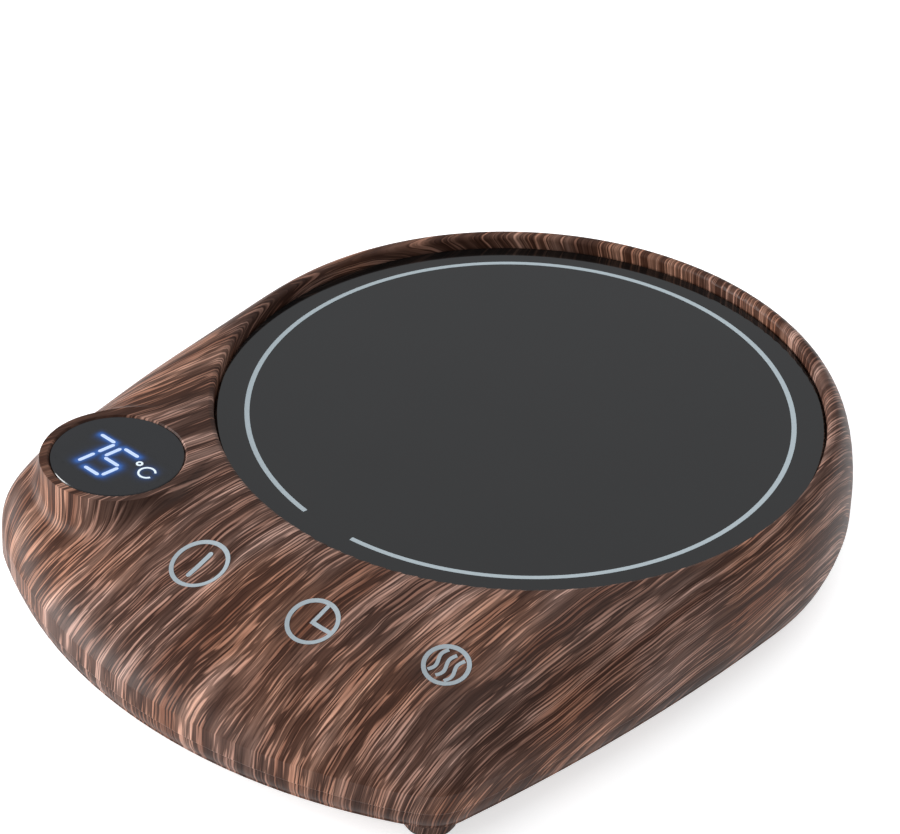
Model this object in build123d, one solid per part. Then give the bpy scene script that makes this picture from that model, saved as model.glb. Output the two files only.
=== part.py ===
"""Electric mug warmer: a wood-printed housing round a glass hot plate, in separate pieces.

Millimetres, +Z up, +X to the user's right, the front (keys and display) towards -Y.
Sub-parts are built round the plate axis, with z = 0 at the rubber feet, and every one is
moved by the same PLATE_Y on export, so the origin is the middle of the footprint.
"""
import os
from math import asin, atan2, cos, degrees, hypot, pi, radians, sin, sqrt, tan

from build123d import *

# ---------------------------------------------------------------- glass plate and its pocket
GLASS_R = 53.4           # black glass disc
GLASS_T = 2.5
GLASS_TOP_Z = 24.4       # the face the mug stands on
GLASS_GAP = 0.3          # gap round the glass
LEDGE_WIDTH = 7.0        # ledge that carries the glass
LEDGE_T = 2.0
GASKET_T = 0.5
GASKET_WIDTH = 5.5
GASKET_MARGIN = 0.4      # gasket starts this far inside the pocket wall
PLATE_BEVEL = 0.3        # broken edge of the glass and the spreader

# ---------------------------------------------------------------- housing outline
RIM_WIDTH = 5.3          # pocket wall to the rear outline
APRON = 32.3             # key deck's extra reach beyond the rear radius
SIDE_TAPER = 6.1         # front half width is this much less than the rear radius
CORNER_R = 9.3           # front corners
FRONT_BOW = 7.2          # centre of the bowed front, behind the plate axis
SIDE_R = 369.0           # radius of the nearly straight sides

# ---------------------------------------------------------------- housing heights
RIM_PROUD = 2.4          # rim crest above the glass
LIP_R = 1.0              # rounding between pocket wall and rim crest
WIDEST_Z = 13.4          # the side is upright below this and domed above
PART_Z = 9.5             # parting line of cover and base
BASE_Z = 4.2             # underside of the base
BACK_POWER = 2.0         # dome profile at the back: a quarter ellipse
FRONT_POWER = 1.5        # dome profile at the front: a longer, straighter slope
SHOULDER_FULLNESS = 494.4    # left shoulder beside the display: the longer the deck, the softer it is
SHOULDER_ANGLES = (-80.0, -42.0, -37.0, -28.0)   # it starts, is full, and ends, from the front
DOME_STEPS = 6           # sections in the dome's loft
COVER_WALL = 2.0
COVER_EDGE_R = 0.35      # rounded lower edge, which catches the light along the parting line
BASE_WALL = 1.8
BASE_EDGE_R = 5.1        # rounding from the base's side to its underside
PARTING_STEP = 0.25      # the base is set in this much, which makes the parting line

# ---------------------------------------------------------------- touch keys
KEY_OUT = 16.0           # from the rim crest out to the middle of each key
KEY_ANGLES = {"power": -7.7, "timer": 12.1, "heat": 31.9}   # degrees from the front
DISH_R = 7.2             # finger dish over each key
DISH_DEPTH = 0.6
DISH_EDGE_R = 12.0       # rounding where a dish meets the deck
SLOPE_STEP = 0.5         # the deck's slope at a key is taken over this much to each side

# ---------------------------------------------------------------- display pod
POD_FROM_CREST = 3.8     # from the rim crest to the pod's edge
POD_FROM_SIDE = 1.0219   # from the pod's edge to the front half width
LENS_R = 11.55
LENS_T = 1.0
LENS_GAP = 0.1
LENS_SUNK = 0.15         # lens face below the pod's edge
LENS_BEVEL = 0.15
POD_LIP = 1.65           # wood edge round the lens
POD_FLARE = 4.2          # how much wider the pod is at its foot
POD_SKEW = (1.6, 1.2)    # its foot is shifted this way, so the outer flank stays steep
POD_SINK = 2.0           # its cone starts this far below the widest line
POD_SPARE = 6.0          # and runs this far above the pod's top before it is cut off
POD_BLEND_R = 3.5        # fillet between pod and deck
POD_MOUTH_BEVEL = 0.3    # broken edge round the lens
POD_FLOOR_T = 1.2
LENS_SEAT = 2.0          # width of the step that carries the lens

# ---------------------------------------------------------------- heater stack
SPREADER_GAP = 3.7       # to the window in the ledge
SPREADER_T = 2.0
FILM_INSET = 3.0         # film, pad and clamp plate each end inside the spreader
FILM_T = 0.8
FILM_TAB = (12.0, 5.0)   # width and reach of the tab with the two solder pads
TAB_GAP = 0.5
INSULATION_INSET = 1.5
INSULATION_T = 2.5
SENSOR_R = 2.5
SENSOR_GAP = 0.4
SENSOR_BEVEL = 0.4
SENSOR_LEADS_R = 1.5     # hole in the clamp plate for the sensor's leads
CLAMP_T = 0.8
CLAMP_INSET = 5.0
CLAMP_EAR_W = 8.0
CLAMP_BEAD = 0.7         # half width and depth of the pressed stiffening bead
CLAMP_BEAD_INSET = 5.7   # from the plate's edge to the middle of the bead
CLAMP_ANGLES = (0.0, 120.0, 240.0)
FUSE_R = 2.0
FUSE_LENGTH = 11.0
FUSE_BEVEL = 0.8
FUSE_LEAD_R = 0.45
FUSE_LEAD_OUT = 4.0
FUSE_PLACE = (-16.0, -14.0)
FUSE_CLIP_T = 0.4
FUSE_CLIP_W = 4.0
FUSE_CLIP_FOOT = 3.0
CLOSE = 0.1              # gap at a close fit between round faces

# ---------------------------------------------------------------- feet and case screws
REAR_FOOT_ANGLE = 138.0  # degrees from the front; the reach is the middle of the ledge
FOOT_PROUD = 1.1         # rubber below the post
PAD_R = 4.1
PAD_SEAT = 0.9           # recess depth in the post
PAD_GAP = 0.1
PAD_BEVEL = 0.45
POST_WALL = 0.3          # post round the pad, at its lower edge
POST_DRAFT = 6.0         # degrees
POST_FLARE_R = 1.5       # concave rounding into the base
HEAD_R = 2.5
HEAD_T = 1.9
HEAD_GAP = 0.3
HEAD_BEVEL = 0.4         # as a share of the head's height
RECESS = (1.2, 0.32)     # length and width of a cross recess, as shares of the head's radius
SHANK_R = 1.4
SHANK_GAP = 0.2          # clearance hole
THREAD_GAP = 0.05        # pilot hole over the thread's outside
CASE_SCREW_LENGTH = 12.0
CASE_SEAT_UP = 1.4       # face under the screw head, above the base's underside
PILOT_SPARE = 1.0        # depth of a blind hole beyond the screw's tip
ROOF_T = 0.8             # least left over a blind hole in the ledge
BASE_BOSS_WALL = 1.2     # round the screw head
COVER_BOSS_WALL = 2.35   # round the thread
CLAMP_BOSS_WALL = 1.85
BOSS_RISE = 0.5          # base boss and cover boss meet this far above the parting line
RIB_T = 1.2
RIB_REACH = 12.0         # from the boss's middle outwards, as far as the wall

# ---------------------------------------------------------------- base details
LIP_T = 1.2              # upstanding lip of the base inside the cover
LIP_H = 2.0
LIP_GAP = 0.15
LIP_NOTCH_GAP = 4.8      # left open beside the cord inlet
VENT_W = 1.8
VENT_PITCH = 6.0
VENT_COUNT = 7
VENT_FIELD_R = 24.0

# ---------------------------------------------------------------- cord inlet
INLET_CLEAR = 0.1        # from the parting line up to the grommet's flange
GROMMET_BORE_R = 2.6     # for a 5 mm cord
GROMMET_WALL = 1.1
GROMMET_FLANGE_W = 1.1   # flange beyond the neck
GROMMET_FLANGE_T = 1.2
GROMMET_BEVEL = 0.6
GROMMET_TAPER = 0.4      # the inner flange narrows by this much, to push it in
GROMMET_GAP = 0.1
GROMMET_GRIP = 0.4       # play between the inner flange and the curved wall
INLET_FLAT = 0.3         # spot face cut into the curved wall under the flange

# ---------------------------------------------------------------- control board
# Places are (across from the middle, ahead of the board's rear edge).
BOARD_STANDOFF = 2.6     # above the base's floor
BOARD_T = 1.6
BOARD_INSET = 4.4        # inside the outline
BOARD_UNDER_RIM = 5.2    # its rear edge lies this far inside the pocket wall
BOSS_NOTCH_GAP = 0.8
BOARD_SCREW_PLACES = ((-30.0, 3.5), (34.0, 3.0), (11.5, 31.5), (-14.0, 31.5))
BOARD_POST_WALL = 1.45   # round the thread
BOARD_SCREW_R = 1.1
BOARD_HEAD_R = 2.1
BOARD_HEAD_T = 1.4
BOARD_SCREW_LENGTH = 4.0
BOX_BEVEL = 0.6          # upper edges of the relay and the terminals
RELAY = (16.0, 8.4, 10.8)
RELAY_PLACE = (2.7, 12.9)
FILM_CAPACITOR = (13.0, 6.0, 11.0)
FILM_CAPACITOR_EDGE_R = 0.8
FILM_CAPACITOR_PLACE = (-20.0, 13.5)
CAN_R = 3.25
CAN_H = 10.0
CAN_BEVEL = 0.5
CAN_CRIMP_Z = 1.6        # above the board
CAN_CRIMP = 0.35         # depth
CAN_SCORE = (4.5, 0.4, 0.25)
CAN_PLACE = (22.5, 11.5)
CHOKE_R = 3.7
CHOKE_H = 7.6
CHOKE_FLANGE_T = 1.2
CHOKE_WAIST = 0.7        # winding below the flanges' edge
CHOKE_PLACE = (-22.5, 24.0)
BOARD_FUSE_R = 4.1
BOARD_FUSE_H = 7.0
BOARD_FUSE_BEVEL = 0.5
BOARD_FUSE_PLACE = (28.0, 21.0)
VARISTOR_R = 3.6
VARISTOR_T = 3.4
VARISTOR_BEVEL = 1.0
VARISTOR_LEG_T = 0.8
VARISTOR_LIFT = 0.3
VARISTOR_PLACE = (3.8, 29.5)
BUZZER_R = 4.5
BUZZER_H = 4.4
BUZZER_BEVEL = 0.4
BUZZER_HOLE_R = 1.0
BUZZER_HOLE_DEPTH = 1.5
BUZZER_PLACE = (20.0, 29.5)
CHIP = (9.8, 4.0, 1.6)
CHIP_LEGS = 8
CHIP_LEG = (0.4, 1.0, 0.5)      # width, reach and thickness
CHIP_LIFT = 0.2
CHIP_PLACE = (2.7, 21.7)
TERMINALS = (22.0, 6.6, 8.0)
TERMINALS_PLACE = (3.0, 4.1)
TERMINAL_WAYS = 4
TERMINAL_WELL = (1.75, 2.0)     # radius and depth
TERMINAL_MOUTH = (3.3, 2.0, 3.2)
TERMINAL_MOUTH_Z = 1.0
SPRING_R = 2.7           # coil centre line
SPRING_WIRE = 0.6
SPRING_TURNS = 3
DISPLAY = (13.0, 9.0, 6.8)
DISPLAY_UNDER_LENS = 0.2
STAND_WALL = 1.2

# ---------------------------------------------------------------- worked out from the above
def tidy(value):
    """Rounded to four places, so that a worked out size is as clean as one that is typed."""
    return round(value, 4)


POCKET_R = GLASS_R + GLASS_GAP
CREST_R = POCKET_R + LIP_R
KEY_REACH = CREST_R + KEY_OUT
BACK_R = POCKET_R + RIM_WIDTH
FRONT_REACH = BACK_R + APRON
FRONT_R = tidy(FRONT_REACH + FRONT_BOW)
FRONT_HALF = BACK_R - SIDE_TAPER
RIM_Z = GLASS_TOP_Z + RIM_PROUD
LEDGE_Z = GLASS_TOP_Z - GLASS_T - GASKET_T
WINDOW_R = POCKET_R - LEDGE_WIDTH
POD_R = LENS_R + LENS_GAP + POD_LIP
POD_REACH = CREST_R + (POD_R + POD_FROM_CREST)
POD_ANGLE = tidy(-degrees(asin((FRONT_HALF - POD_R - POD_FROM_SIDE) / POD_REACH)))
SHOULDER_POWER = tidy(SHOULDER_FULLNESS / (FRONT_REACH + APRON))
POD_Z = RIM_Z            # the pod's top is level with the rim crest
LENS_Z = POD_Z - LENS_SUNK - LENS_T
SPREADER_R = WINDOW_R - SPREADER_GAP
SPREADER_Z = GLASS_TOP_Z - GLASS_T - SPREADER_T
FILM_R = SPREADER_R - FILM_INSET
FILM_Z = SPREADER_Z - FILM_T
INSULATION_R = SPREADER_R - INSULATION_INSET
INSULATION_Z = FILM_Z - INSULATION_T
CLAMP_R = SPREADER_R - CLAMP_INSET
CLAMP_Z = INSULATION_Z - CLAMP_T
CLAMP_SCREW_REACH = WINDOW_R + LEDGE_WIDTH / 2
POST_R = PAD_R + PAD_GAP + POST_WALL
BASE_FLOOR_Z = BASE_Z + BASE_WALL
BASE_ROOT_Z = BASE_Z + BASE_WALL / 2     # posts and bosses start inside the floor
CASE_SEAT_Z = BASE_Z + CASE_SEAT_UP
BOSS_SPLIT_Z = PART_Z + BOSS_RISE
BASE_BOSS_R = HEAD_R + HEAD_GAP + BASE_BOSS_WALL
COVER_BOSS_R = SHANK_R + THREAD_GAP + COVER_BOSS_WALL
CLAMP_BOSS_R = BOARD_SCREW_R + THREAD_GAP + CLAMP_BOSS_WALL
BOARD_POST_R = BOARD_SCREW_R + THREAD_GAP + BOARD_POST_WALL
BOARD_Z = BASE_FLOOR_Z + BOARD_STANDOFF
BOARD_TOP_Z = BOARD_Z + BOARD_T
BOARD_REAR_Y = BOARD_UNDER_RIM - POCKET_R
GROMMET_NECK_R = GROMMET_BORE_R + GROMMET_WALL
GROMMET_FLANGE_R = GROMMET_NECK_R + GROMMET_FLANGE_W
INLET_Z = tidy(PART_Z + GROMMET_FLANGE_R + INLET_CLEAR)
FLANGE_Y = BACK_R - INLET_FLAT
PLATE_Y = (FRONT_REACH - FLANGE_Y - GROMMET_FLANGE_T) / 2

CUT_OVER = 1.0           # a cut runs this far past the face it opens
SAME = 0.01              # sizes and places closer than this count as equal
UP = (Align.CENTER, Align.CENTER, Align.MIN)
DOWN = (Align.CENTER, Align.CENTER, Align.MAX)


# ================================================================ small helpers
def disc(radius, z, height, place=(0.0, 0.0)):
    """An upright cylinder whose lower face is at z."""
    return Pos(place[0], place[1], z) * Cylinder(radius, height, align=UP)


def block(size, z, place=(0.0, 0.0)):
    """A box standing at z, centred on a place."""
    return Pos(place[0], place[1], z) * Box(*size, align=UP)


def polar(reach, angle):
    """A place at a distance from the plate axis, by degrees from the front towards +X."""
    return (reach * sin(radians(angle)), -reach * cos(radians(angle)))


def board_place(place):
    """A place on the board, from the plate axis."""
    across, ahead = place
    return (across, BOARD_REAR_Y - ahead)


def screw(shank_r, head_r, head_t, length):
    """A pan-head screw, pointing up, with its seat at z = 0."""
    head = Cylinder(head_r, head_t, align=DOWN)
    head = chamfer(head.edges().sort_by(Axis.Z)[0], head_t * HEAD_BEVEL)
    recess = Box(head_r * RECESS[0], head_r * RECESS[1], head_t / 2, align=UP)
    recess += Rot(0, 0, 90) * recess
    return head + Cylinder(shank_r, length, align=UP) - Pos(0, 0, -head_t) * recess


# ================================================================ outline of the housing
def corner_centre():
    """Centre of the right front corner, which touches the front arc from inside."""
    x = FRONT_HALF - CORNER_R
    y = FRONT_R - FRONT_REACH - sqrt((FRONT_R - CORNER_R) ** 2 - x**2)
    return x, y


def side_centre():
    """Centre of the right side's arc, which touches the rear arc and the corner."""
    cx, cy = corner_centre()
    span = hypot(cx, cy)
    to_rear = SIDE_R - BACK_R
    to_corner = SIDE_R - CORNER_R
    along = (to_rear**2 - to_corner**2 + span**2) / (2 * span)
    across = sqrt(to_rear**2 - along**2)
    return (cx * along + cy * across) / span, (cy * along - cx * across) / span


def outline_arcs():
    """The right half as (centre, radius, start, end) arcs from the back to the front."""
    corner = corner_centre()
    side = side_centre()
    front = (0.0, FRONT_R - FRONT_REACH)
    rear_end = atan2(-side[1], -side[0])
    side_end = atan2(corner[1] - side[1], corner[0] - side[0])
    corner_end = atan2(corner[1] - front[1], corner[0] - front[0])
    return [
        ((0.0, 0.0), BACK_R, pi / 2, rear_end),
        (side, SIDE_R, rear_end, side_end),
        (corner, CORNER_R, side_end, corner_end),
        (front, FRONT_R, corner_end, -pi / 2),
    ]


def on_arc(arc, share, inset):
    centre, radius, start, end = arc
    angle = start + (end - start) * share
    return centre[0] + (radius - inset) * cos(angle), centre[1] + (radius - inset) * sin(angle)


def outline(inset=0.0):
    """The flat outline as a face, all its arcs moved in by the same amount."""
    right = [
        [on_arc(arc, share, inset) for share in (0, 0.5, 1)] for arc in outline_arcs()
    ]
    left = [[(-x, y) for x, y in reversed(points)] for points in reversed(right)]
    return make_face([ThreePointArc(*points) for points in right + left])


def outline_points(inset, counts=(6, 5, 5, 4)):
    """Points round the outline for a smooth closed curve, with a count for each arc."""
    half = []
    for arc, count in zip(outline_arcs(), counts):
        half += [on_arc(arc, i / count, inset) for i in range(count)]
    half.append((0.0, inset - FRONT_REACH))
    return half + [(-x, y) for x, y in half[-2:0:-1]]


# ================================================================ domed deck
def clamp(share):
    return min(max(share, 0.0), 1.0)


def dome_power(x, y, reach):
    """The profile's exponent towards a place, where the outline is at this reach."""
    share = clamp((reach - BACK_R) / APRON)
    plain = BACK_POWER + (FRONT_POWER - BACK_POWER) * share
    angle = degrees(atan2(x, -y))
    start, full, fall, end = SHOULDER_ANGLES
    shoulder = min(clamp((angle - start) / (full - start)), clamp((end - angle) / (end - fall)))
    return plain + (SHOULDER_POWER - plain) * shoulder


def dome_section(rise, inset, top):
    """The dome's outline at a share of its height: the rim circle at 1, full size at 0."""
    points = []
    for x, y in outline_points(inset):
        reach = hypot(x, y)
        power = dome_power(x, y, reach)
        spread = (1 - rise**power) ** (1 / power) if rise < 1 else 0.0
        scale = (CREST_R + (reach - CREST_R) * spread) / reach
        points.append((x * scale, y * scale, WIDEST_Z + (top - WIDEST_Z) * rise))
    return Face(Wire([Spline(*points, periodic=True)]))


def dome(inset=0.0, top=RIM_Z):
    """One smooth skin from the upright side to the circle of the rim crest."""
    rises = [sin(pi / 2 * i / DOME_STEPS) for i in range(DOME_STEPS + 1)]
    return loft([dome_section(rise, inset, top) for rise in rises])


def skirt(inset=0.0, low=PART_Z):
    """The upright side under the dome."""
    return extrude(dome_section(0, inset, RIM_Z), WIDEST_Z - low, dir=(0, 0, -1))


def deck_height(x, y, inset=0.0, top=RIM_Z):
    """Height of the dome's skin over a place near the front."""
    reach = hypot(x, y)
    full = front_reach_towards(x, y) - inset
    power = dome_power(x, y, full)
    spread = clamp((reach - CREST_R) / (full - CREST_R))
    return WIDEST_Z + (top - WIDEST_Z) * (1 - spread**power) ** (1 / power)


def front_reach_towards(x, y):
    """Distance from the plate axis to the front arc in the direction of a place."""
    along = -y / hypot(x, y)
    centre = FRONT_REACH - FRONT_R
    return along * centre + sqrt(FRONT_R**2 - centre**2 * (1 - along**2))


# ================================================================ display pod and key dishes
def pod_place():
    return polar(POD_REACH, POD_ANGLE)


def pod_cone():
    """A skewed cone through the pod's top circle, taller than the pod, to blend with."""
    x, y = pod_place()
    low_z = WIDEST_Z - POD_SINK
    stretch = 1.0 + POD_SPARE / (POD_Z - low_z)
    low = Pos(x + POD_SKEW[0], y + POD_SKEW[1], low_z) * Circle(POD_R + POD_FLARE)
    shift = [side * (1 - stretch) for side in POD_SKEW]
    high_z = low_z + (POD_Z - low_z) * stretch
    high = Pos(x + shift[0], y + shift[1], high_z) * Circle(POD_R + POD_FLARE * (1 - stretch))
    return loft([low, high])


def ring_edges(shape, place, radius):
    """Curved edges that run right round a place on the sloping deck."""
    found = []
    for edge in shape.edges().filter_by(GeomType.BSPLINE):
        box = edge.bounding_box()
        centred = hypot(box.center().X - place[0], box.center().Y - place[1]) < radius
        if centred and radius < box.size.X < 4 * radius and box.min.Z > WIDEST_Z:
            found.append(edge)
    return found


def housing_form():
    """The cover's outer form: dome and skirt, with the pod blended in and its top cut off level."""
    with_pod = dome() + skirt() + pod_cone()
    blended = fillet(ring_edges(with_pod, pod_place(), POD_R), POD_BLEND_R)
    above = Pos(0, 0, POD_Z) * Box(4 * BACK_R, 4 * FRONT_REACH, RIM_Z, align=UP)
    form = blended - above
    return fillet([e for e in form.edges() if (e @ 0.5).Z < PART_Z + SAME], COVER_EDGE_R)


def pod_mouth():
    """A bevel that opens upwards round the lens."""
    low_r = LENS_R + LENS_GAP
    bevel = Cone(low_r, low_r + 2 * POD_MOUTH_BEVEL, 2 * POD_MOUTH_BEVEL, align=UP)
    return Pos(*pod_place(), POD_Z - POD_MOUTH_BEVEL) * bevel


def dish_ball(angle):
    """A large ball that presses a shallow dish into the sloping deck."""
    x, y = polar(KEY_REACH, angle)
    out_x, out_y = x / KEY_REACH, y / KEY_REACH
    inner = deck_height(*polar(KEY_REACH - SLOPE_STEP, angle))
    outer = deck_height(*polar(KEY_REACH + SLOPE_STEP, angle))
    slope = atan2(inner - outer, 2 * SLOPE_STEP)
    ball_r = (DISH_R**2 + DISH_DEPTH**2) / (2 * DISH_DEPTH)
    lift = ball_r - DISH_DEPTH
    outward = lift * sin(slope)
    z = deck_height(x, y) + lift * cos(slope)
    return Pos(x + out_x * outward, y + out_y * outward, z) * Sphere(ball_r)


# ================================================================ top cover
def cover_hollow():
    """Space inside the cover, with the pocket wall, ledge and bosses left standing."""
    space = dome(COVER_WALL, RIM_Z - COVER_WALL) + skirt(COVER_WALL, PART_Z - CUT_OVER)
    space += disc(POD_R - COVER_WALL, WIDEST_Z, LENS_Z - POD_FLOOR_T - WIDEST_Z, pod_place())
    kept = [disc(POCKET_R + COVER_WALL, LEDGE_Z - LEDGE_T, RIM_Z)]
    for place in case_screw_places():
        kept += [disc(COVER_BOSS_R, BOSS_SPLIT_Z, RIM_Z, place), boss_rib(place)]
    for place in clamp_screw_places():
        kept.append(disc(CLAMP_BOSS_R, CLAMP_Z + CLAMP_T, RIM_Z, place))
    return space - kept


def boss_rib(place):
    """A web from a boss out to the wall, from the boss's foot upwards."""
    reach = hypot(*place)
    x, y = place[0] / reach, place[1] / reach
    middle = (place[0] + x * RIB_REACH / 2, place[1] + y * RIB_REACH / 2, BOSS_SPLIT_Z + LIP_H)
    return Pos(*middle) * Rot(0, 0, degrees(atan2(y, x))) * Box(RIB_REACH, RIB_T, RIM_Z, align=UP)


def cover_pilot_holes():
    """Blind holes for the case screws and the heater clamp's screws."""
    depth = CASE_SEAT_Z + CASE_SCREW_LENGTH + PILOT_SPARE - BOSS_SPLIT_Z
    holes = [disc(SHANK_R + THREAD_GAP, BOSS_SPLIT_Z, depth, place) for place in case_screw_places()]
    depth = LEDGE_Z - CLAMP_Z - CLAMP_T - ROOF_T
    for place in clamp_screw_places():
        holes.append(disc(BOARD_SCREW_R + THREAD_GAP, CLAMP_Z + CLAMP_T, depth, place))
    return holes


def top_cover():
    """The wood-printed shell: pocket and ledge for the glass, pod, dishes and bosses."""
    body = round_pocket_lip(housing_form() - disc(POCKET_R, LEDGE_Z, RIM_Z))
    body = body - [dish_ball(angle) for angle in KEY_ANGLES.values()]
    dish_edges = [ring_edges(body, polar(KEY_REACH, a), DISH_R) for a in KEY_ANGLES.values()]
    body = fillet(sum(dish_edges, []), DISH_EDGE_R)
    windows = [
        disc(WINDOW_R, LEDGE_Z - 2 * LEDGE_T, RIM_Z),
        disc(LENS_R + LENS_GAP, LENS_Z, RIM_Z, pod_place()),
        disc(LENS_R - LENS_SEAT, LENS_Z - 2 * POD_FLOOR_T, RIM_Z, pod_place()),
        pod_mouth(),
    ]
    return body - cover_hollow() - (windows + cover_pilot_holes() + inlet_cuts())


def round_pocket_lip(body):
    """Rounds the pocket's upper edge into the rim crest."""
    edges = body.edges().filter_by(GeomType.CIRCLE)
    lip = [e for e in edges if abs(e.radius - POCKET_R) < SAME and (e @ 0.5).Z > RIM_Z - SAME]
    return fillet(lip, LIP_R * 0.9)


def inlet_cuts():
    """The hole for the cord grommet and a flat seat for its flange."""
    hole = Cylinder(GROMMET_NECK_R + GROMMET_GAP, 3 * COVER_WALL)
    seat = Cylinder(GROMMET_FLANGE_R + 2 * GROMMET_GAP, COVER_WALL, align=UP)
    return [
        Pos(0, BACK_R, INLET_Z) * Rot(90, 0, 0) * hole,
        Pos(0, FLANGE_Y, INLET_Z) * Rot(-90, 0, 0) * seat,
    ]


# ================================================================ base shell
def foot_places():
    """The four feet by name: the front ones share the corners' centres."""
    x, y = corner_centre()
    rear_x, rear_y = polar(CLAMP_SCREW_REACH, REAR_FOOT_ANGLE)
    return {
        "front_left": (-x, y),
        "front_right": (x, y),
        "rear_left": (-rear_x, rear_y),
        "rear_right": (rear_x, rear_y),
    }


def case_screw_places():
    return list(foot_places().values())


def board_screw_places():
    return [board_place(place) for place in BOARD_SCREW_PLACES]


def clamp_screw_places():
    return [
        (CLAMP_SCREW_REACH * cos(radians(a)), CLAMP_SCREW_REACH * sin(radians(a)))
        for a in CLAMP_ANGLES
    ]


def foot_post():
    """A drafted round post that flares into the base's underside."""
    neck_z = BASE_Z - POST_FLARE_R
    neck_r = POST_R + (neck_z - FOOT_PROUD) * tan(radians(POST_DRAFT))
    flare_r = neck_r + POST_FLARE_R
    middle = (flare_r - POST_FLARE_R * cos(pi / 4), neck_z + POST_FLARE_R * sin(pi / 4))
    profile = [
        Line((0, FOOT_PROUD), (POST_R, FOOT_PROUD)),
        Line((POST_R, FOOT_PROUD), (neck_r, neck_z)),
        ThreePointArc((neck_r, neck_z), middle, (flare_r, BASE_Z)),
        Line((flare_r, BASE_Z), (flare_r, BASE_ROOT_Z)),
        Line((flare_r, BASE_ROOT_Z), (0, BASE_ROOT_Z)),
        Line((0, BASE_ROOT_Z), (0, FOOT_PROUD)),
    ]
    return revolve(Plane.XZ * make_face(profile), Axis.Z)


def base_pan():
    """The shallow dish of the base with its rounded edge, solid."""
    pan = extrude(Pos(0, 0, BASE_Z) * outline(PARTING_STEP), PART_Z - BASE_Z)
    return fillet(pan.edges().group_by(Axis.Z)[0], BASE_EDGE_R)


def base_hollow():
    inset = PARTING_STEP + BASE_WALL
    space = extrude(Pos(0, 0, BASE_FLOOR_Z) * outline(inset), PART_Z)
    return fillet(space.edges().group_by(Axis.Z)[0], BASE_EDGE_R - BASE_WALL)


def base_lip():
    """The upstanding lip that centres the cover, with a gap under the cord inlet."""
    outer_inset = COVER_WALL + LIP_GAP
    height = PART_Z + LIP_H - BASE_FLOOR_Z
    ring = extrude(Pos(0, 0, PART_Z) * outline(outer_inset), LIP_H)
    ring += extrude(Pos(0, 0, BASE_FLOOR_Z) * outline(PARTING_STEP + BASE_WALL / 2), PART_Z - BASE_FLOOR_Z)
    ring -= extrude(Pos(0, 0, BASE_FLOOR_Z) * outline(outer_inset + LIP_T), height)
    notch_w = 2 * (GROMMET_FLANGE_R + LIP_NOTCH_GAP)
    return ring - Pos(0, BACK_R, PART_Z) * Box(notch_w, notch_w, LIP_H + CUT_OVER, align=UP)


def vent_slots():
    """Parallel slots with round ends that fill a circle under the heater."""
    slots = []
    for i in range(VENT_COUNT):
        x = (i - (VENT_COUNT - 1) / 2) * VENT_PITCH
        length = 2 * sqrt(VENT_FIELD_R**2 - x**2)
        slot = Pos(x, 0, BASE_Z - CUT_OVER) * Rot(0, 0, 90) * SlotOverall(length, VENT_W)
        slots.append(extrude(slot, BASE_WALL + 2 * CUT_OVER))
    return slots


def base_shell():
    """The lower shell: pan, lip, foot posts, bosses for the case screws and posts for the board."""
    body = base_pan() + [Pos(x, y, 0) * foot_post() for x, y in case_screw_places()]
    body = body - base_hollow() + base_lip()
    body += [disc(BASE_BOSS_R, BASE_ROOT_Z, BOSS_SPLIT_Z - BASE_ROOT_Z, p) for p in case_screw_places()]
    body += [disc(BOARD_POST_R, BASE_ROOT_Z, BOARD_Z - BASE_ROOT_Z, p) for p in board_screw_places()]
    return body - (board_pilot_holes() + case_screw_holes() + vent_slots())


def board_pilot_holes():
    low_z = BOARD_TOP_Z - BOARD_SCREW_LENGTH
    return [disc(BOARD_SCREW_R + THREAD_GAP, low_z, BOARD_T + low_z, p) for p in board_screw_places()]


def case_screw_holes():
    """For each case screw: the pad's recess, the head's recess and the shank's hole."""
    holes = []
    for place in case_screw_places():
        holes.append(disc(PAD_R + PAD_GAP, 0, FOOT_PROUD + PAD_SEAT, place))
        holes.append(disc(HEAD_R + HEAD_GAP, 0, CASE_SEAT_Z, place))
        holes.append(disc(SHANK_R + SHANK_GAP, 0, BOSS_SPLIT_Z + CUT_OVER, place))
    return holes


# ================================================================ feet, screws and inlet
def foot_pad(place):
    pad = disc(PAD_R, 0, FOOT_PROUD + PAD_SEAT, place)
    return chamfer(pad.edges().sort_by(Axis.Z)[0], PAD_BEVEL)


def case_screws():
    one = screw(SHANK_R, HEAD_R, HEAD_T, CASE_SCREW_LENGTH)
    return [Pos(x, y, CASE_SEAT_Z) * one for x, y in case_screw_places()]


def board_screws():
    one = Rot(180, 0, 0) * screw(BOARD_SCREW_R, BOARD_HEAD_R, BOARD_HEAD_T, BOARD_SCREW_LENGTH)
    return [Pos(x, y, BOARD_TOP_Z) * one for x, y in board_screw_places()]


def clamp_screws():
    one = screw(BOARD_SCREW_R, BOARD_HEAD_R, BOARD_HEAD_T, BOARD_SCREW_LENGTH)
    return [Pos(x, y, CLAMP_Z) * one for x, y in clamp_screw_places()]


def cord_grommet():
    """A flanged rubber bush that snaps into the rear wall, without its cord."""
    wall = COVER_WALL - INLET_FLAT
    inner = FLANGE_Y - wall - GROMMET_GRIP - GROMMET_FLANGE_T
    length = GROMMET_FLANGE_T * 2 + wall + GROMMET_GRIP
    outer_flange = disc(GROMMET_FLANGE_R, length - GROMMET_FLANGE_T, GROMMET_FLANGE_T)
    outer_flange = chamfer(outer_flange.edges().sort_by(Axis.Z)[-1], GROMMET_BEVEL)
    inner_flange = Cone(GROMMET_NECK_R, GROMMET_FLANGE_R - GROMMET_TAPER, GROMMET_FLANGE_T, align=UP)
    bush = outer_flange + inner_flange + Cylinder(GROMMET_NECK_R, length, align=UP)
    bush -= Cylinder(GROMMET_BORE_R, length, align=UP)
    return Pos(0, inner, INLET_Z) * Rot(-90, 0, 0) * bush


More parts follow.
